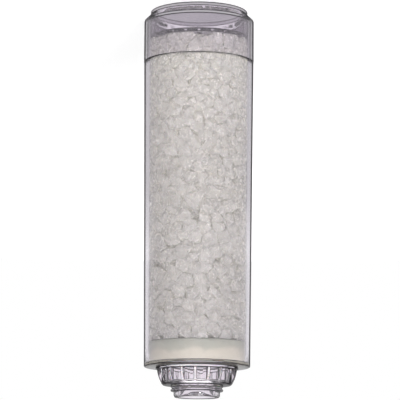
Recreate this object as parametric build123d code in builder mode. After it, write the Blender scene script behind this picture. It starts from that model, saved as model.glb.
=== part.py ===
from build123d import *

import os
from math import cos, dist, hypot, pi, sin
from random import Random

# Anti-scale cartridge: a clear drafted tube of dosing crystals, with a slotted inlet cap at one end and a
# ribbed crown with a stepped outlet neck at the other. It stands on its cap: z = 0 is the cap's outer face,
# +Z runs along the axis to the neck's rim, and the azimuths count from +X. All sizes are in millimetres.

# Tube
cartridge_length = 248.0
tube_radius_open = 35.05
tube_taper = 1.55
wall_open = 3.4
wall_closed = 2.8
floor_thickness = 2.6
tube_edge = 0.5

# Cap: foot ring, chamfered shoulder, skirt, and a recessed plate on a cup wall
cap_height = 33.3
foot_inset = 4.1
foot_height = 2.3
skirt_proud = 0.15
shoulder_height = 6.3
skirt_wall = 1.6
recess_depth = 17.0
cup_wall = 2.6
plate_thickness = 2.4

# Joint between the cap and the tube: the tube's rebated end stands in the groove behind the skirt
groove_floor_height = 7.4
rebate_clearance = 0.1
skirt_gap = 0.4
plate_clearance = 0.25

# Inlet slots, in two rings between the plate's hub and rim. The outer ring takes the larger share.
slot_rim_margin = 3.2
slot_hub_radius = 7.2
slot_ring_gap = 3.0
outer_slot_share = 0.58
outer_slot_count = 20
inner_slot_count = 10
slot_width = 1.8

# Crown: a hollow cup with gusset ribs that run down from the ring at its root
crown_height = 11.4
crown_step = 5.9
crown_edge = 1.1
crown_wall = 2.4
crown_end_wall = 2.4
crown_cavity_draft = 0.4
root_ring_width = 3.5
root_ring_height = 1.5
rib_count = 18
rib_width = 2.0
rib_reach = 2.9
rib_bulge = 0.75
rib_end_margin = 1.3
rib_overlap = 1.0
first_rib_azimuth = -87.5

# Neck: the outlet bore, a spout with a lead-in, and a collar with a shallow groove
outlet_radius = 11.8
spout_wall = 2.8
collar_step = 1.9
collar_height = 3.8
collar_groove_height = 1.3
collar_groove_width = 1.2
collar_groove_depth = 0.7
spout_length = 3.8
lead_in_height = 1.5
lead_in_depth = 0.6

# Outlet strainer and felt pad
strainer_thickness = 1.6
strainer_ledge = 1.4
strainer_clearance = 0.15
strainer_rim = 2.6
strainer_slot_width = 1.4
strainer_slot_pitch = 3.4
pad_thickness = 13.0
pad_clearance = 0.3

# Dosing crystals: how far apart their middles lie by the wall and in the heart of the bed. The shares are
# of that pitch: from layer to layer, from the rim to the first ring, from ring to ring, and the scatter.
crystal_pitch = 12.4
heart_pitch = 19.0
layer_share = 0.82
rim_share = 0.45
ring_share = 0.87
smallest_ring_share = 0.35
scatter_share = 0.17
seat_share = 0.26
crystal_gap = 0.3
crystal_corner_limit = 7
crystal_draw = 20

# Heights that follow, from the neck's rim down and from the cap's face up
collar_top = cartridge_length - spout_length
crown_top = collar_top - collar_height
tube_top = crown_top - crown_height
floor_height = tube_top - floor_thickness
strainer_seat_height = floor_height + strainer_thickness
cavity_top = crown_top - crown_end_wall
rebate_height = cap_height + skirt_gap
plate_top = recess_depth + plate_thickness
pad_bottom = floor_height - pad_thickness

# Radii that follow, from the tube's to the cap's and from the outlet bore out to the crown's ring
tube_radius_closed = tube_radius_open - tube_taper
skirt_radius = tube_radius_open + skirt_proud
skirt_bore = skirt_radius - skirt_wall
rebate_radius = skirt_bore - rebate_clearance
foot_radius = skirt_radius - foot_inset
spout_radius = outlet_radius + spout_wall
collar_radius = spout_radius + collar_step
crown_radius = collar_radius + crown_step
root_ring_radius = crown_radius + root_ring_width
rib_root_radius = crown_radius + rib_reach
cavity_radius = crown_radius - crown_wall
strainer_seat_radius = cavity_radius + strainer_ledge


def between(start, end, z, z_start, z_end):
    """A radius that runs straight from start at z_start to end at z_end."""
    return start + (end - start) * (z - z_start) / (z_end - z_start)


def bore_radius(z):
    """The tube's inside, drafted so that its core draws out at the open end."""
    open_bore = tube_radius_open - wall_open
    closed_bore = tube_radius_closed - wall_closed
    return between(open_bore, closed_bore, z, rebate_height, floor_height)


# The cap's cup stands inside the bore
plate_radius = bore_radius(plate_top) - plate_clearance
recess_radius = plate_radius - cup_wall

# The container: one moulding, from the tube's rebated end to the spout's rim
with BuildPart() as container:
    with BuildSketch(Plane.XZ) as container_profile:
        with BuildLine():
            Polyline(
                (bore_radius(groove_floor_height), groove_floor_height),
                (rebate_radius, groove_floor_height),
                (rebate_radius, rebate_height),
                (tube_radius_open, rebate_height),
                (tube_radius_closed, tube_top),
                (root_ring_radius, tube_top),
                (root_ring_radius, tube_top + root_ring_height),
                (crown_radius, tube_top + root_ring_height),
                (crown_radius, crown_top),
                (collar_radius, crown_top),
                (collar_radius, crown_top + collar_groove_height),
                (collar_radius - collar_groove_depth, crown_top + collar_groove_height),
                (collar_radius - collar_groove_depth, crown_top + collar_groove_height + collar_groove_width),
                (collar_radius, crown_top + collar_groove_height + collar_groove_width),
                (collar_radius, collar_top),
                (spout_radius, collar_top),
                (spout_radius, cartridge_length - lead_in_height),
                (spout_radius - lead_in_depth, cartridge_length),
                (outlet_radius, cartridge_length),
                (outlet_radius, cavity_top),
                (cavity_radius - crown_cavity_draft, cavity_top),
                (cavity_radius, strainer_seat_height),
                (strainer_seat_radius, strainer_seat_height),
                (strainer_seat_radius, floor_height),
                (bore_radius(floor_height), floor_height),
                close=True,
            )
        make_face()
        corners = container_profile.vertices()
        chamfer(corners.sort_by_distance((tube_radius_closed, tube_top))[0], tube_edge)
        chamfer(corners.sort_by_distance((crown_radius, crown_top))[0], crown_edge)
    revolve(axis=Axis.Z)

    # Gusset ribs, each with a crest that bulges a little as it falls to the crown's wall
    rib_end = crown_top - rib_end_margin
    rib_azimuths = [first_rib_azimuth + 360 * k / rib_count for k in range(rib_count)]
    rib_planes = [Plane.XZ.rotated((0, 0, azimuth)) for azimuth in rib_azimuths]
    with BuildSketch(*rib_planes):
        with BuildLine():
            crest_middle = ((rib_root_radius + crown_radius) / 2 + rib_bulge, (tube_top + rib_end) / 2)
            ThreePointArc((rib_root_radius, tube_top), crest_middle, (crown_radius, rib_end))
            Polyline(
                (crown_radius, rib_end),
                (crown_radius - rib_overlap, rib_end),
                (crown_radius - rib_overlap, tube_top),
                (rib_root_radius, tube_top),
            )
        make_face()
    extrude(amount=rib_width / 2, both=True)
container.part.label = "container"

# The end cap: foot ring, shoulder and skirt outside, cup wall and slotted plate inside
with BuildPart() as end_cap:
    with BuildSketch(Plane.XZ):
        with BuildLine():
            Polyline(
                (recess_radius, 0),
                (foot_radius, 0),
                (foot_radius, foot_height),
                (skirt_radius, shoulder_height),
                (skirt_radius, cap_height),
                (skirt_bore, cap_height),
                (skirt_bore, groove_floor_height),
                (plate_radius, groove_floor_height),
                (plate_radius, plate_top),
                (0, plate_top),
                (0, recess_depth),
                (recess_radius, recess_depth),
                close=True,
            )
        make_face()
    revolve(axis=Axis.Z)

    slot_reach = recess_radius - slot_rim_margin - slot_ring_gap - slot_hub_radius
    outer_slot_length = slot_reach * outer_slot_share
    inner_slot_length = slot_reach - outer_slot_length
    outer_ring = recess_radius - slot_rim_margin - outer_slot_length / 2
    inner_ring = slot_hub_radius + inner_slot_length / 2
    with BuildSketch(Plane.XY.offset(recess_depth)):
        with PolarLocations(outer_ring, outer_slot_count):
            Rectangle(outer_slot_length, slot_width)
        with PolarLocations(inner_ring, inner_slot_count):
            Rectangle(inner_slot_length, slot_width)
    extrude(amount=plate_thickness, mode=Mode.SUBTRACT)
end_cap.part.label = "end_cap"

# The outlet strainer: a slotted disc on the ledge in the crown's mouth, flush with the tube's floor
with BuildPart() as outlet_strainer:
    strainer_radius = strainer_seat_radius - strainer_clearance
    with BuildSketch(Plane.XY.offset(floor_height)):
        Circle(strainer_radius)
    extrude(amount=strainer_thickness)

    slot_field_radius = strainer_radius - strainer_rim
    slots_each_side = int((slot_field_radius - strainer_slot_width) / strainer_slot_pitch)
    with BuildSketch(Plane.XY.offset(floor_height)):
        for k in range(-slots_each_side, slots_each_side + 1):
            slot_place = k * strainer_slot_pitch
            slot_length = 2 * (slot_field_radius**2 - slot_place**2) ** 0.5
            with Locations((0, slot_place)):
                Rectangle(slot_length, strainer_slot_width)
    extrude(amount=strainer_thickness, mode=Mode.SUBTRACT)
outlet_strainer.part.label = "outlet_strainer"

# The felt pad: it lies on the floor and the strainer, and fills the bore
with BuildPart() as outlet_pad:
    with BuildSketch(Plane.XY.offset(pad_bottom)):
        Circle(bore_radius(floor_height) - pad_clearance)
    extrude(amount=pad_thickness)
outlet_pad.part.label = "outlet_pad"


def scattered_rings(dice, pitch, rim_inset, ring_limit):
    """Scattered middles in layers from the cap's plate to the pad, in rings from rim_inset off the wall."""
    layers = max(1, round((pad_bottom - plate_top) / (pitch * layer_share)))
    layer_height = (pad_bottom - plate_top) / layers
    middles = []
    for layer in range(layers):
        z = plate_top + (layer + 0.5) * layer_height
        for ring in range(ring_limit):
            ring_radius = bore_radius(z) - rim_inset - (rim_share + ring_share * ring) * pitch
            if ring_radius < smallest_ring_share * pitch:
                break
            count = round(2 * pi * ring_radius / pitch)
            turn = dice.uniform(0, 2 * pi)
            for k in range(count):
                azimuth = turn + 2 * pi * k / count
                aside = [dice.uniform(-1, 1) * scatter_share * pitch for _ in range(3)]
                x = ring_radius * cos(azimuth) + aside[0]
                y = ring_radius * sin(azimuth) + aside[1]
                middles.append((x, y, z + aside[2]))
    return middles


def seats_around(middle):
    """Points where a crystal could rest on the cap's plate, the pad, or in a triangle on the tube's wall."""
    x, y, z = middle
    lowest, highest = plate_top + crystal_gap / 2, pad_bottom - crystal_gap / 2
    seats = [(x, y, lowest), (x, y, highest)]
    for turn in (pi / 2, pi * 7 / 6, pi * 11 / 6):
        around = seat_share * crystal_pitch * cos(turn)
        seat_z = min(max(z + seat_share * crystal_pitch * sin(turn), lowest), highest)
        seat_radius = bore_radius(seat_z) - crystal_gap / 2
        off_axis = max(hypot(x, y), crystal_gap)
        seat_x = x * seat_radius / off_axis - y * around / off_axis
        seat_y = y * seat_radius / off_axis + x * around / off_axis
        shrink = seat_radius / hypot(seat_x, seat_y)
        seats.append((seat_x * shrink, seat_y * shrink, seat_z))
    return seats


def crystal_corners(middle, others):
    """Corners of one crystal: half a gap short of the points where it meets its neighbours and seats."""
    near = [other for other in others if other != middle and dist(other, middle) < 2 * heart_pitch]
    meeting_points = [tuple((a + b) / 2 for a, b in zip(middle, other)) for other in near]
    meeting_points += seats_around(middle)
    corners = []
    for point in meeting_points:
        reach = dist(point, middle)
        if all(dist(point, other) > reach * 0.999 for other in near):
            short = 1 - crystal_gap / 2 / reach
            corners.append(tuple(a + (b - a) * short for a, b in zip(middle, point)))
    kept = [max(corners, key=lambda corner: dist(corner, middle))]
    while len(kept) < min(crystal_corner_limit, len(corners)):
        kept.append(max(corners, key=lambda corner: min(dist(corner, other) for other in kept)))
    return kept


# The crystals: loose angular lumps, each in its own part of the bed and in touch with its neighbours. One
# ring of them lies by the wall, and larger ones fill the heart of the bed, which they hide.
dice = Random(crystal_draw)
wall_ring_depth = 2 * rim_share * crystal_pitch
heart_rings = int(bore_radius(plate_top) / heart_pitch) + 1
middles = scattered_rings(dice, crystal_pitch, 0, 1)
middles += scattered_rings(dice, heart_pitch, wall_ring_depth, heart_rings)
lumps = [ConvexPolyhedron(crystal_corners(middle, middles)) for middle in middles]
crystals = Compound(label="crystals", children=lumps)

os.makedirs("parts", exist_ok=True)
export_step(container.part, "parts/container.step")
export_step(end_cap.part, "parts/end_cap.step")
export_step(outlet_strainer.part, "parts/outlet_strainer.step")
export_step(outlet_pad.part, "parts/outlet_pad.step")
export_step(crystals, "parts/crystals.step")
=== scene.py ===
from math import cos, pi, radians, sin
from random import Random

import bmesh
import bpy
from mathutils import Matrix, Quaternion, Vector
from mathutils.kdtree import KDTree


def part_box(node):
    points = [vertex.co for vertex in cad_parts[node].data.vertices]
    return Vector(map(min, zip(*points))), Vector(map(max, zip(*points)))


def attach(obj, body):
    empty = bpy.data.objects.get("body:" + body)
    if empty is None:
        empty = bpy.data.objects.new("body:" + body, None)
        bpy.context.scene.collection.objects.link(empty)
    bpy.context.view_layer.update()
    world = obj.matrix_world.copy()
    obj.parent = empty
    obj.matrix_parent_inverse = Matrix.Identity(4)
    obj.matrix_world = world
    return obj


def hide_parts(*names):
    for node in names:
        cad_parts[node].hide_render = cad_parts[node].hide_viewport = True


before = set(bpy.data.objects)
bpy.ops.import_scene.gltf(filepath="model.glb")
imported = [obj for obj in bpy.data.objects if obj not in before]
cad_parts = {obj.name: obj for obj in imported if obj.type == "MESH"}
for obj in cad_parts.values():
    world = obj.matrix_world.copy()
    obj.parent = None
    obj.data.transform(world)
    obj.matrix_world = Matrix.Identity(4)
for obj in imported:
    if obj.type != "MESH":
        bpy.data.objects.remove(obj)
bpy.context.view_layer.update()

# The clear anti-scale cartridge as it looks: its glassy crystals, its felt pad and the finish of its
# mouldings. It stands on its cap, z = 0 is the cap's outer face and +Z runs to the neck. Sizes are in metres.
MM = 0.001

# Camera, fitted to the photograph and turned over, because the photograph shows the neck down
photo_width = 400
sensor_width_mm = 36.0
focal_length_pixels = 2400
camera_distance = 1.528
camera_elevation = radians(9.15)
camera_lean = radians(0.35)
aim_height = 0.1222
axis_left_of_centre_pixels = 2

# Crystals: half their width, how closely they settle, and how they are broken and worn
lump_smallest = 2.3 * MM
lump_largest = 4.4 * MM
bed_fill = 0.6
settling_rounds = 60
lump_gap = 0.05 * MM
wall_clearance = 0.1 * MM
chips_per_lump = 2
shortest_edge = 0.45 * MM
flattest_edge = radians(9)
worn_edge = 0.12 * MM
seen_depth = 7 * MM
bed_draw = 7

# Shares of a crystal's reach: the block that it is cut from (half its side, its furthest corner), where its
# chips lie, how near the wall it gets flat sides, and the turns at which it is kept off the wall
block_half = 1.6
block_share = 2.8
chip_nearest = 0.95
chip_furthest = 1.15
beside_wall = 2
wall_turns = (-1.2, -0.4, 0.4, 1.2)
flat_side_tilt = 0.4
flat_sides_by_wall = 2

# Floor
floor_radius = 1.2

# Mouldings: the radii that the tools leave on their edges, and what counts as an edge
tube_radius = 0.28 * MM
cap_radius = 0.36 * MM
strainer_radius = 0.22 * MM
same_place = 0.005 * MM
flat_angle = radians(0.6)
edge_angle = radians(28)
panel_angle = radians(12)
# Rounded edges that get painted shade: those further out than this radius or higher than crown_edges_from,
# and how dark
outer_edge_radius = 28 * MM
edge_darkness = 0.9
crown_edges_from = 224.5 * MM
crown_start = 228.3 * MM
crown_end = 248 * MM

# Felt pad
felt_rim_radius = 1.2 * MM

# The tube's bore at the two ends of the bed
bore_at_cap = 31.72 * MM
bore_at_pad = 30.77 * MM


def camera():
    """The photograph's view: long lens, a little above, rolled so that the neck points down."""
    data = bpy.data.cameras.new("photo_camera")
    data.sensor_width = sensor_width_mm
    data.lens = focal_length_pixels * sensor_width_mm / photo_width
    data.shift_x = axis_left_of_centre_pixels / photo_width
    data.clip_start = 0.1
    data.clip_end = 50
    view = bpy.data.objects.new("photo_camera", data)
    back = Vector((0, -cos(camera_elevation), sin(camera_elevation)))
    view.location = Vector((0, 0, aim_height)) + back * camera_distance
    level = (-back).to_track_quat("-Z", "Y")
    view.rotation_mode = "QUATERNION"
    view.rotation_quaternion = level @ Quaternion((0, 0, 1), pi + camera_lean)
    bpy.context.scene.collection.objects.link(view)
    bpy.context.scene.camera = view


def soft_box(name, place, aim, width, height, watts):
    """One studio soft box, facing the aim point."""
    data = bpy.data.lights.new(name, "AREA")
    data.shape = "RECTANGLE"
    data.size = width
    data.size_y = height
    data.energy = watts
    lamp = bpy.data.objects.new(name, data)
    lamp.location = place
    lamp.rotation_mode = "QUATERNION"
    lamp.rotation_quaternion = (Vector(aim) - Vector(place)).to_track_quat("-Z", "Y")
    bpy.context.scene.collection.objects.link(lamp)


def studio():
    """Soft boxes, and a world that is white behind the cartridge, grey at the sides and dark above."""
    middle = (0, 0, 0.12)
    soft_box("key_box", (-0.5, -1.3, 1.0), middle, 0.7, 0.9, 10)
    soft_box("fill_box", (0.8, -1.05, 0.95), middle, 0.6, 0.8, 5)
    soft_box("back_box", (-0.1, 1.0, 1.1), middle, 1.0, 0.6, 7)
    soft_box("glint_box", (-0.35, -1.3, 0.55), middle, 0.12, 0.12, 2.5)

    world = bpy.data.worlds.new("studio")
    bpy.context.scene.world = world
    world.use_nodes = True
    nodes, links = world.node_tree.nodes, world.node_tree.links
    direction = nodes.new("ShaderNodeTexCoord")
    parts = nodes.new("ShaderNodeSeparateXYZ")
    aside = nodes.new("ShaderNodeMath")
    aside.operation = "ABSOLUTE"
    links.new(direction.outputs["Generated"], parts.inputs[0])
    links.new(parts.outputs["X"], aside.inputs[0])
    sides = ramp(nodes, [(0.25, (1, 1, 1)), (0.6, (0.78, 0.78, 0.785)), (0.95, (0.68, 0.68, 0.7))])
    links.new(aside.outputs[0], sides.inputs["Fac"])
    heights = [
        (0, (0.92, 0.91, 0.93)),
        (0.03, (1.15, 1.15, 1.15)),
        (0.35, (1.15, 1.15, 1.15)),
        (0.6, (0.05, 0.05, 0.05)),
    ]
    ceiling = ramp(nodes, heights)
    links.new(parts.outputs["Z"], ceiling.inputs["Fac"])
    room = nodes.new("ShaderNodeMixRGB")
    room.blend_type = "MULTIPLY"
    room.inputs["Fac"].default_value = 1
    links.new(sides.outputs["Color"], room.inputs["Color1"])
    links.new(ceiling.outputs["Color"], room.inputs["Color2"])
    path = nodes.new("ShaderNodeLightPath")
    straight = nodes.new("ShaderNodeMixRGB")
    straight.inputs["Color2"].default_value = (1, 1, 1, 1)
    links.new(path.outputs["Is Camera Ray"], straight.inputs["Fac"])
    links.new(room.outputs["Color"], straight.inputs["Color1"])
    links.new(straight.outputs["Color"], nodes["Background"].inputs["Color"])


def floor():
    """A pale floor: white to the eye but for the shadow. Through plastic it shows as a painted shade, a grey
    glow that is darkest near the cartridge and paler far off.
    """
    mesh = bmesh.new()
    bmesh.ops.create_circle(mesh, cap_ends=True, segments=96, radius=floor_radius)
    data = bpy.data.meshes.new("floor")
    mesh.to_mesh(data)
    mesh.free()
    ground = bpy.data.objects.new("floor", data)
    bpy.context.scene.collection.objects.link(ground)
    paint = bpy.data.materials.new("pale_floor")
    paint.use_nodes = True
    nodes, links = paint.node_tree.nodes, paint.node_tree.links
    nodes.clear()
    out = nodes.new("ShaderNodeOutputMaterial")
    matte = nodes.new("ShaderNodeBsdfDiffuse")
    matte.inputs["Color"].default_value = (0.8, 0.8, 0.8, 1)
    glow = nodes.new("ShaderNodeEmission")
    lit = nodes.new("ShaderNodeAddShader")
    links.new(matte.outputs[0], lit.inputs[0])
    links.new(glow.outputs[0], lit.inputs[1])

    place = nodes.new("ShaderNodeTexCoord")
    away = nodes.new("ShaderNodeVectorMath")
    away.operation = "LENGTH"
    share = nodes.new("ShaderNodeMath")
    share.operation = "DIVIDE"
    share.inputs[1].default_value = floor_radius
    # Painted shade: through plastic the floor is an emission, darkest around the cartridge where its shadow
    # would fall.
    painted_shade_greys = [
        (0.08, (0.485, 0.475, 0.49)),
        (0.17, (0.585, 0.572, 0.59)),
        (0.6, (0.6, 0.588, 0.606)),
        (1, (0.92, 0.91, 0.93)),
    ]
    painted_floor_shade = ramp(nodes, painted_shade_greys)
    painted_glow_through_plastic = nodes.new("ShaderNodeEmission")
    links.new(place.outputs["Object"], away.inputs[0])
    links.new(away.outputs["Value"], share.inputs[0])
    links.new(share.outputs[0], painted_floor_shade.inputs["Fac"])
    links.new(painted_floor_shade.outputs["Color"], painted_glow_through_plastic.inputs["Color"])
    paler = ramp(nodes, [(0.15, (0.5, 0.5, 0.5)), (0.6, (0.75, 0.75, 0.75))])
    links.new(share.outputs[0], paler.inputs["Fac"])
    links.new(paler.outputs["Color"], glow.inputs["Color"])

    path = nodes.new("ShaderNodeLightPath")
    to_eye = nodes.new("ShaderNodeMixShader")
    links.new(path.outputs["Is Camera Ray"], to_eye.inputs["Fac"])
    links.new(matte.outputs[0], to_eye.inputs[1])
    links.new(lit.outputs[0], to_eye.inputs[2])
    by_plastic = nodes.new("ShaderNodeMath")
    by_plastic.operation = "MAXIMUM"
    links.new(path.outputs["Is Glossy Ray"], by_plastic.inputs[0])
    links.new(path.outputs["Is Transmission Ray"], by_plastic.inputs[1])
    seen = nodes.new("ShaderNodeMixShader")
    links.new(by_plastic.outputs[0], seen.inputs["Fac"])
    links.new(to_eye.outputs[0], seen.inputs[1])
    links.new(painted_glow_through_plastic.outputs[0], seen.inputs[2])
    links.new(seen.outputs[0], out.inputs["Surface"])
    data.materials.append(paint)


def new_finish(name):
    """A material with its principled shader, and its nodes and links."""
    finish = bpy.data.materials.new(name)
    finish.use_nodes = True
    return finish, finish.node_tree.nodes["Principled BSDF"], finish.node_tree.nodes, finish.node_tree.links


def grain(nodes, links, scale, detail=3):
    """A noise in the piece's own coordinates, of so many features to the metre."""
    place = nodes.new("ShaderNodeTexCoord")
    pattern = nodes.new("ShaderNodeTexNoise")
    pattern.inputs["Scale"].default_value = scale
    pattern.inputs["Detail"].default_value = detail
    links.new(place.outputs["Object"], pattern.inputs["Vector"])
    return pattern


def ramp(nodes, stops):
    """A colour ramp with the given (position, colour) stops."""
    band = nodes.new("ShaderNodeValToRGB")
    elements = band.color_ramp.elements
    while len(elements) < len(stops):
        elements.new(1)
    for element, (position, colour) in zip(elements, stops):
        element.position = position
        element.color = (*colour, 1)
    return band


def bump(nodes, links, source, strength, distance, shader):
    """Relief from a pattern, on the shader's normal."""
    relief = nodes.new("ShaderNodeBump")
    relief.inputs["Strength"].default_value = strength
    relief.inputs["Distance"].default_value = distance
    links.new(source, relief.inputs["Height"])
    links.new(relief.outputs["Normal"], shader.inputs["Normal"])


def height_in_piece(nodes, links, low, high):
    """How far up a point is between two heights, from 0 to 1."""
    place = nodes.new("ShaderNodeTexCoord")
    parts = nodes.new("ShaderNodeSeparateXYZ")
    share = nodes.new("ShaderNodeMapRange")
    share.inputs["From Min"].default_value = low
    share.inputs["From Max"].default_value = high
    links.new(place.outputs["Object"], parts.inputs[0])
    links.new(parts.outputs["Z"], share.inputs["Value"])
    return share.outputs["Result"]


def multiplied(nodes, links, one, other):
    """The product of two colours."""
    product = nodes.new("ShaderNodeMixRGB")
    product.blend_type = "MULTIPLY"
    product.inputs["Fac"].default_value = 1
    links.new(one, product.inputs["Color1"])
    links.new(other, product.inputs["Color2"])
    return product.outputs["Color"]


def open_to_lamps(nodes, links, shader, tint):
    """Lets the lamps shine in through a clear finish, so that what is inside is lit."""
    passing = nodes.new("ShaderNodeBsdfTransparent")
    passing.inputs["Color"].default_value = (*tint, 1)
    path = nodes.new("ShaderNodeLightPath")
    lit = nodes.new("ShaderNodeMixShader")
    links.new(path.outputs["Is Shadow Ray"], lit.inputs["Fac"])
    links.new(shader, lit.inputs[1])
    links.new(passing.outputs[0], lit.inputs[2])
    links.new(lit.outputs[0], nodes["Material Output"].inputs["Surface"])


def clear_plastic():
    """Clear moulding plastic: polished, faintly violet, and drawn dark with painted shade where it is seen
    edge on and on its rounded edges.
    """
    finish, shader, nodes, links = new_finish("clear_moulding")
    shader.inputs["Transmission Weight"].default_value = 0.99
    shader.inputs["IOR"].default_value = 1.49
    flow = grain(nodes, links, 55, 2)
    tint = ramp(nodes, [(0.3, (0.91, 0.886, 0.92)), (0.7, (0.93, 0.907, 0.938))])
    links.new(flow.outputs["Fac"], tint.inputs["Fac"])
    height = height_in_piece(nodes, links, crown_start, crown_end)
    depths = [
        (0, (1, 1, 1)),
        (0.05, (0.985, 0.97, 0.98)),
        (0.58, (0.985, 0.97, 0.98)),
        (0.68, (1, 0.99, 0.992)),
    ]
    depth = ramp(nodes, depths)
    links.new(height, depth.inputs["Fac"])
    violet = multiplied(nodes, links, tint.outputs["Color"], depth.outputs["Color"])
    links.new(violet, shader.inputs["Base Color"])
    haze = ramp(nodes, [(0.3, (0.015, 0.015, 0.015)), (0.8, (0.06, 0.06, 0.06))])
    links.new(flow.outputs["Fac"], haze.inputs["Fac"])
    links.new(haze.outputs["Color"], shader.inputs["Roughness"])
    bump(nodes, links, flow.outputs["Fac"], 0.25, 0.25 * MM, shader)

    # Painted shade: a near-black, nearly clear finish, darkest in the crown, mixed in at the outlines and on
    # the marked rounded edges.
    edge = nodes.new("ShaderNodeBsdfPrincipled")
    painted_edge_shade_colours = [
        (0, (0.018, 0.016, 0.02)),
        (0.05, (0.003, 0.0025, 0.0035)),
        (0.58, (0.003, 0.0025, 0.0035)),
        (0.7, (0.012, 0.011, 0.014)),
    ]
    dark = ramp(nodes, painted_edge_shade_colours)
    links.new(height, dark.inputs["Fac"])
    links.new(dark.outputs["Color"], edge.inputs["Base Color"])
    edge.inputs["Transmission Weight"].default_value = 0.9
    edge.inputs["Roughness"].default_value = 0.3
    edge.inputs["IOR"].default_value = 1.08
    # The painted outline: where the plastic turns edge on, sooner in the crown, and weaker on level faces
    # below it.
    facing = nodes.new("ShaderNodeLayerWeight")
    facing.inputs["Blend"].default_value = 0.5
    leads = [(0, (0, 0, 0)), (0.05, (0.2, 0.2, 0.2)), (0.58, (0.2, 0.2, 0.2)), (0.68, (0.02, 0.02, 0.02))]
    sooner = ramp(nodes, leads)
    links.new(height, sooner.inputs["Fac"])
    turned = nodes.new("ShaderNodeMath")
    links.new(facing.outputs["Facing"], turned.inputs[0])
    links.new(sooner.outputs["Color"], turned.inputs[1])
    rim = ramp(nodes, [(0.75, (0, 0, 0)), (0.8, (1, 1, 1))])
    links.new(turned.outputs[0], rim.inputs["Fac"])
    place = nodes.new("ShaderNodeTexCoord")
    upright = nodes.new("ShaderNodeSeparateXYZ")
    level = nodes.new("ShaderNodeMath")
    level.operation = "ABSOLUTE"
    ledge = ramp(nodes, [(0.7, (1, 1, 1)), (0.95, (0.3, 0.3, 0.3))])
    links.new(place.outputs["Normal"], upright.inputs[0])
    links.new(upright.outputs["Z"], level.inputs[0])
    links.new(level.outputs[0], ledge.inputs["Fac"])
    above = ramp(nodes, [(0, (0, 0, 0)), (0.05, (1, 1, 1))])
    links.new(height, above.inputs["Fac"])
    shown = nodes.new("ShaderNodeMath")
    shown.operation = "MAXIMUM"
    links.new(ledge.outputs["Color"], shown.inputs[0])
    links.new(above.outputs["Color"], shown.inputs[1])
    outline = multiplied(nodes, links, rim.outputs["Color"], shown.outputs[0])
    rounded = nodes.new("ShaderNodeAttribute")
    rounded.attribute_name = "edge_shade"
    darker = nodes.new("ShaderNodeMath")
    darker.operation = "MAXIMUM"
    links.new(outline, darker.inputs[0])
    links.new(rounded.outputs["Fac"], darker.inputs[1])
    with_edges = nodes.new("ShaderNodeMixShader")
    links.new(darker.outputs[0], with_edges.inputs["Fac"])
    links.new(shader.outputs[0], with_edges.inputs[1])
    links.new(edge.outputs[0], with_edges.inputs[2])

    open_to_lamps(nodes, links, with_edges.outputs[0], (0.97, 0.965, 0.97))
    return finish


def crystal_glass():
    """Pale glassy crystals: clearer and cloudier, frosted and polished, and darkened towards the pad by
    painted shade.
    """
    finish, shader, nodes, links = new_finish("crystal_glass")
    shader.inputs["Transmission Weight"].default_value = 0.57
    shader.inputs["IOR"].default_value = 1.2
    shader.inputs["Subsurface Weight"].default_value = 0.8
    shader.inputs["Subsurface Radius"].default_value = (1, 1, 1)
    shader.inputs["Subsurface Scale"].default_value = 4 * MM
    place = nodes.new("ShaderNodeTexCoord")
    lump = nodes.new("ShaderNodeTexVoronoi")
    lump.inputs["Scale"].default_value = 150
    links.new(place.outputs["Object"], lump.inputs["Vector"])
    cloud = grain(nodes, links, 420, 3)
    mixed = nodes.new("ShaderNodeMath")
    mixed.operation = "MULTIPLY_ADD"
    mixed.inputs[1].default_value = 0.45
    links.new(lump.outputs["Color"], mixed.inputs[0])
    links.new(cloud.outputs["Fac"], mixed.inputs[2])
    tint = ramp(nodes, [(0.45, (0.94, 0.93, 0.86)), (0.85, (0.995, 0.99, 0.94))])
    links.new(mixed.outputs[0], tint.inputs["Fac"])
    # Painted shade: the colour falls from near white at the cap end of the bed to grey at the pad.
    painted_shade_greys = [
        (0, (0.965, 0.965, 0.965)),
        (0.15, (0.945, 0.94, 0.945)),
        (0.5, (0.845, 0.84, 0.845)),
        (1, (0.76, 0.755, 0.76)),
    ]
    painted_shade_to_pad = ramp(nodes, painted_shade_greys)
    links.new(height_in_piece(nodes, links, bed_bottom, bed_top), painted_shade_to_pad.inputs["Fac"])
    pale = multiplied(nodes, links, tint.outputs["Color"], painted_shade_to_pad.outputs["Color"])
    links.new(pale, shader.inputs["Base Color"])
    frost = grain(nodes, links, 500, 2)
    dull = ramp(nodes, [(0.4, (0.12, 0.12, 0.12)), (0.65, (0.38, 0.38, 0.38))])
    links.new(frost.outputs["Fac"], dull.inputs["Fac"])
    links.new(dull.outputs["Color"], shader.inputs["Roughness"])
    bump(nodes, links, cloud.outputs["Fac"], 0.25, 0.3 * MM, shader)
    open_to_lamps(nodes, links, shader.outputs[0], (0.93, 0.93, 0.91))
    return finish


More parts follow.
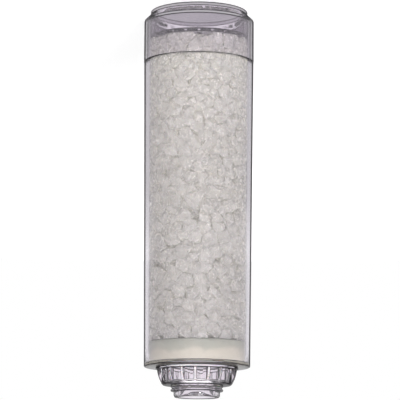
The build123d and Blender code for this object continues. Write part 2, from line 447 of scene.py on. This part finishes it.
def cream_felt():
    """Dense cream felt: short fibres in all directions, and darker and greener towards the crystals by
    painted shade.
    """
    finish, shader, nodes, links = new_finish("cream_felt")
    shader.inputs["Roughness"].default_value = 0.95
    shader.inputs["Sheen Weight"].default_value = 0.25
    shader.inputs["Sheen Roughness"].default_value = 0.5
    low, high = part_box("outlet_pad")
    place = nodes.new("ShaderNodeTexCoord")
    height = nodes.new("ShaderNodeSeparateXYZ")
    links.new(place.outputs["Object"], height.inputs[0])
    mottle = grain(nodes, links, 130, 4)
    painted_shade_height = nodes.new("ShaderNodeMath")
    painted_shade_height.operation = "MULTIPLY_ADD"
    painted_shade_height.inputs[1].default_value = 9 * MM
    links.new(mottle.outputs["Fac"], painted_shade_height.inputs[0])
    links.new(height.outputs["Z"], painted_shade_height.inputs[2])
    depth = nodes.new("ShaderNodeMapRange")
    depth.inputs["From Min"].default_value = low.z + 4.5 * MM
    depth.inputs["From Max"].default_value = high.z + 4.5 * MM
    links.new(painted_shade_height.outputs[0], depth.inputs["Value"])
    # Painted shade: dark and greenish on the side towards the crystals, with a mottled edge, and cream
    # beyond.
    tint = ramp(nodes, [(0.1, (0.37, 0.385, 0.325)), (0.38, (0.42, 0.42, 0.35)), (0.6, (0.58, 0.555, 0.46))])
    links.new(depth.outputs["Result"], tint.inputs["Fac"])
    links.new(tint.outputs["Color"], shader.inputs["Base Color"])
    fibres = grain(nodes, links, 2600, 4)
    bump(nodes, links, fibres.outputs["Fac"], 0.6, 0.35 * MM, shader)
    return finish


def satin_plastic():
    """The strainer's natural, slightly milky plastic."""
    finish, shader, nodes, links = new_finish("satin_plastic")
    shader.inputs["Subsurface Weight"].default_value = 0.15
    shader.inputs["Subsurface Scale"].default_value = 1 * MM
    mould = grain(nodes, links, 700, 2)
    tint = ramp(nodes, [(0.3, (0.80, 0.79, 0.79)), (0.7, (0.86, 0.85, 0.85))])
    links.new(mould.outputs["Fac"], tint.inputs["Fac"])
    links.new(tint.outputs["Color"], shader.inputs["Base Color"])
    shader.inputs["Roughness"].default_value = 0.42
    bump(nodes, links, mould.outputs["Fac"], 0.2, 0.1 * MM, shader)
    return finish


def bore_at(z):
    """The tube's inside radius at a height."""
    return bore_at_cap + (bore_at_pad - bore_at_cap) * (z - bed_bottom) / (bed_top - bed_bottom)


def kept_in_bed(place, reach):
    """The nearest place at which a lump of that reach touches neither the plate, the pad nor the wall."""
    z = min(max(place.z, bed_bottom + reach), bed_top - reach)
    room = bore_at(z) - wall_clearance - reach
    off_axis = max(Vector((place.x, place.y)).length, 1e-9)
    shrink = min(1, room / off_axis)
    return Vector((place.x * shrink, place.y * shrink, z))


def settled_bed(dice):
    """(middle, reach) of each crystal, after each pair that overlaps has been pushed apart many times."""
    mean_radius = (bore_at_cap + bore_at_pad) / 2
    volume = pi * mean_radius**2 * (bed_top - bed_bottom) * bed_fill
    lumps = []
    while volume > 0:
        reach = dice.uniform(lump_smallest, lump_largest)
        azimuth = dice.uniform(0, 2 * pi)
        radius = mean_radius * dice.random() ** 0.5
        place = Vector((radius * cos(azimuth), radius * sin(azimuth), dice.uniform(bed_bottom, bed_top)))
        lumps.append([kept_in_bed(place, reach), reach])
        volume -= 4 / 3 * pi * reach**3
    for _ in range(settling_rounds):
        near = KDTree(len(lumps))
        for k, (place, reach) in enumerate(lumps):
            near.insert(place, k)
        near.balance()
        for k, (place, reach) in enumerate(lumps):
            push = Vector()
            for other, n, gap in near.find_range(place, reach + lump_largest):
                overlap = reach + lumps[n][1] - gap
                if n != k and overlap > 0 and gap > 0:
                    push += (place - other) / gap * overlap * 0.5
            lumps[k][0] = kept_in_bed(place + push, reach)
    return lumps


def random_direction(dice):
    """A direction with no bias."""
    height = dice.uniform(-1, 1)
    azimuth = dice.uniform(0, 2 * pi)
    across = (1 - height**2) ** 0.5
    return Vector((across * cos(azimuth), across * sin(azimuth), height))


def cut(mesh, point, side):
    """Takes off what lies beyond the plane through point that faces side, and closes the cut."""
    bmesh.ops.bisect_plane(
        mesh,
        geom=mesh.verts[:] + mesh.edges[:] + mesh.faces[:],
        plane_co=point,
        plane_no=side,
        clear_outer=True,
    )
    rim = [edge for edge in mesh.edges if edge.is_boundary]
    if rim:
        bmesh.ops.contextual_create(mesh, geom=rim)


def sides_of(place, reach, neighbours, dice):
    """Planes (distance from the middle, direction) that bound one crystal among its neighbours and walls."""
    sides = []
    for other, other_reach in neighbours:
        apart = (other - place).length
        side = (other - place) / apart
        distance = apart * reach / (reach + other_reach) - lump_gap / 2
        if distance < block_half * reach * (abs(side.x) + abs(side.y) + abs(side.z)):
            sides.append((distance, side))
    bore = bore_at(place.z) - wall_clearance
    outward = Vector((place.x, place.y, 0)).normalized()
    room = bore - place.dot(outward)
    if room < beside_wall * reach:
        for _ in range(flat_sides_by_wall):
            tilt = Vector((0, 0, dice.uniform(-flat_side_tilt, flat_side_tilt)))
            tilt += Vector((-outward.y, outward.x, 0)) * dice.uniform(-flat_side_tilt, flat_side_tilt)
            sides.append((min(room, reach * chip_furthest), (outward + tilt).normalized()))
    if room < block_share * reach:
        for turn in wall_turns:
            wall = Quaternion((0, 0, 1), turn * reach / bore) @ outward
            sides.append((bore - lump_gap - place.dot(wall), wall))
    sides.append((place.z - bed_bottom - wall_clearance, Vector((0, 0, -1))))
    sides.append((bed_top - wall_clearance - place.z, Vector((0, 0, 1))))
    for _ in range(chips_per_lump):
        sides.append((reach * dice.uniform(chip_nearest, chip_furthest), random_direction(dice)))
    return sides


def broken_lump(place, reach, sides, worn):
    """One crystal: a block cut by its sides, with short edges merged and, if it shows, its edges worn.

    The corners are closed again by their hull. Where wearing would open the surface, the edges stay sharp.
    """
    mesh = bmesh.new()
    bmesh.ops.create_cube(mesh, size=2 * block_half * reach, matrix=Matrix.Translation(place))
    for distance, side in sides:
        cut(mesh, place + side * distance, side)
    bmesh.ops.remove_doubles(mesh, verts=mesh.verts, dist=shortest_edge)
    corners = [corner.co.copy() for corner in mesh.verts]
    mesh.clear()
    for corner in corners:
        mesh.verts.new(corner)
    hull = bmesh.ops.convex_hull(mesh, input=mesh.verts)
    spare = hull["geom_interior"] + hull["geom_unused"]
    inside = {part for part in spare if isinstance(part, bmesh.types.BMVert)}
    bmesh.ops.delete(mesh, geom=list(inside), context="VERTS")
    bmesh.ops.dissolve_limit(mesh, angle_limit=flattest_edge, verts=mesh.verts, edges=mesh.edges)
    if worn:
        sharp = mesh.copy()
        bmesh.ops.bevel(
            mesh,
            geom=mesh.edges[:],
            offset=worn_edge,
            offset_type="OFFSET",
            segments=1,
            profile=0.5,
            affect="EDGES",
            material=-1,
            clamp_overlap=True,
        )
        if all(edge.is_manifold for edge in mesh.edges):
            sharp.free()
        else:
            mesh.free()
            mesh = sharp
    bmesh.ops.recalc_face_normals(mesh, faces=mesh.faces)
    return mesh


def crystal_bed():
    """All crystals as one piece: each fills its own part of the bed, a small gap from its neighbours."""
    dice = Random(bed_draw)
    lumps = settled_bed(dice)
    near = KDTree(len(lumps))
    for k, (place, reach) in enumerate(lumps):
        near.insert(place, k)
    near.balance()
    bed = bmesh.new()
    one = bpy.data.meshes.new("one_crystal")
    for k, (place, reach) in enumerate(lumps):
        found = near.find_range(place, block_share * (reach + lump_largest))
        neighbours = [(other, lumps[n][1]) for other, n, _ in found if n != k]
        room = bore_at(place.z) - Vector((place.x, place.y)).length
        ends = min(place.z - bed_bottom, bed_top - place.z)
        shown = min(room, ends) < seen_depth
        lump = broken_lump(place, reach, sides_of(place, reach, neighbours, dice), shown)
        lump.to_mesh(one)
        lump.free()
        bed.from_mesh(one)
    bpy.data.meshes.remove(one)
    data = bpy.data.meshes.new("crystal_bed")
    bed.to_mesh(data)
    bed.free()
    piece = bpy.data.objects.new("crystal_bed", data)
    bpy.context.scene.collection.objects.link(piece)
    data.materials.append(crystal_glass())
    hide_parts("crystals")
    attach(piece, "root")


def felt_pad():
    """The pad: a felt disc whose rims are a little rounded."""
    low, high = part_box("outlet_pad")
    radius = (high.x - low.x) / 2
    mesh = bmesh.new()
    rim = bmesh.ops.create_circle(mesh, cap_ends=True, segments=96, radius=radius)
    bmesh.ops.translate(mesh, vec=(0, 0, low.z), verts=rim["verts"])
    top = bmesh.ops.extrude_face_region(mesh, geom=mesh.faces[:])
    raised = [part for part in top["geom"] if isinstance(part, bmesh.types.BMVert)]
    bmesh.ops.translate(mesh, vec=(0, 0, high.z - low.z), verts=raised)
    bmesh.ops.bevel(
        mesh,
        geom=[edge for edge in mesh.edges if abs(edge.verts[0].co.z - edge.verts[1].co.z) < 1e-6],
        offset=felt_rim_radius,
        offset_type="OFFSET",
        segments=4,
        profile=0.5,
        affect="EDGES",
        material=-1,
    )
    bmesh.ops.recalc_face_normals(mesh, faces=mesh.faces)
    data = bpy.data.meshes.new("felt_pad")
    mesh.to_mesh(data)
    mesh.free()
    data.shade_smooth()
    pad = bpy.data.objects.new("felt_pad", data)
    bpy.context.scene.collection.objects.link(pad)
    data.materials.append(cream_felt())
    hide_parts("outlet_pad")
    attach(pad, "root")


def moulded(name, node, finish, radius):
    """A moulding with the small radii that its tool leaves on every edge, in place of the sharp node."""
    mesh = bmesh.new()
    mesh.from_mesh(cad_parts[node].data)
    bmesh.ops.remove_doubles(mesh, verts=mesh.verts, dist=same_place)
    bmesh.ops.dissolve_limit(mesh, angle_limit=flat_angle, verts=mesh.verts, edges=mesh.edges)
    edges = [edge for edge in mesh.edges if edge.is_manifold and edge.calc_face_angle() > edge_angle]
    crowded = {v for edge in mesh.edges if edge.calc_length() < 2 * radius for v in edge.verts}
    shade = mesh.faces.layers.float.new("edge_shade")
    rounded = bmesh.ops.bevel(
        mesh,
        geom=[edge for edge in edges if not crowded.intersection(edge.verts)],
        offset=radius,
        offset_type="OFFSET",
        segments=2,
        profile=0.5,
        affect="EDGES",
        material=-1,
    )
    # Painted shade: the rounded outer edges, and all rounded edges of the crown, are marked to be drawn dark.
    for face in rounded["faces"]:
        middle = face.calc_center_median()
        if Vector((middle.x, middle.y)).length > outer_edge_radius or middle.z > crown_edges_from:
            face[shade] = edge_darkness
    bmesh.ops.triangulate(mesh, faces=[face for face in mesh.faces if len(face.verts) > 4])
    data = bpy.data.meshes.new(name)
    mesh.to_mesh(data)
    mesh.free()
    data.shade_smooth()
    data.set_sharp_from_angle(angle=panel_angle)
    piece = bpy.data.objects.new(name, data)
    bpy.context.scene.collection.objects.link(piece)
    data.materials.clear()
    data.materials.append(finish)
    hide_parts(node)
    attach(piece, "root")


bed_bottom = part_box("crystals")[0].z
bed_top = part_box("outlet_pad")[0].z

camera()
studio()
floor()
moulding = clear_plastic()
moulded("tube_and_crown", "container", moulding, tube_radius)
moulded("inlet_cap", "end_cap", moulding, cap_radius)
moulded("slotted_strainer", "outlet_strainer", satin_plastic(), strainer_radius)
crystal_bed()
felt_pad()

bpy.context.scene.view_settings.view_transform = "Standard"
